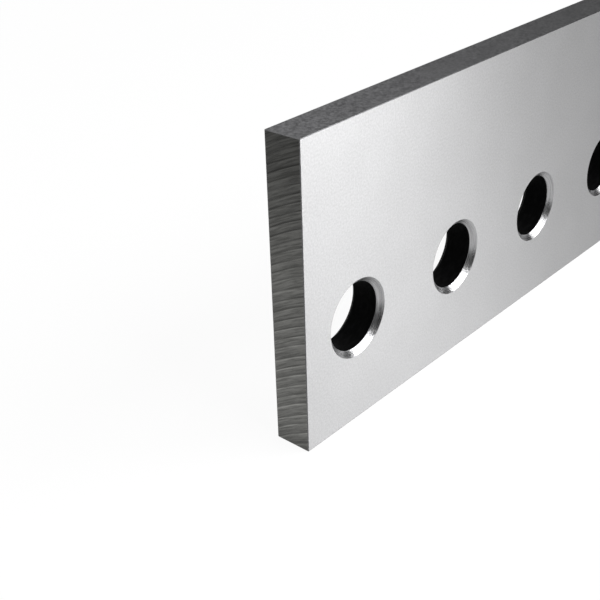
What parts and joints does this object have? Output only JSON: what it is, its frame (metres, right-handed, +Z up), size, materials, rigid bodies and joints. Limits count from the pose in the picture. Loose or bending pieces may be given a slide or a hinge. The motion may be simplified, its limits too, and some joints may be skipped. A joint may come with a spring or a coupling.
{
  "type": "moulder knife",
  "caption": "Flat ground steel bar for a wood moulder, rectangular in section, with a row of countersunk bolt holes below its middle.",
  "frame": {"origin": "centre of the bar's box, on the surface that it stands on", "axes": "+X along the bar, -Y out of the front face, +Z up from the long edge that it stands on"},
  "size_m": [0.33, 0.008, 0.064],
  "materials": {
    "ground_steel": "surface-ground faces with a fine grain, sawn ends, dark drilled bores and bright turned countersinks"
  },
  "bodies": {
    "root": {"knife_bar": "ground_steel"}
  },
  "joints": []
}
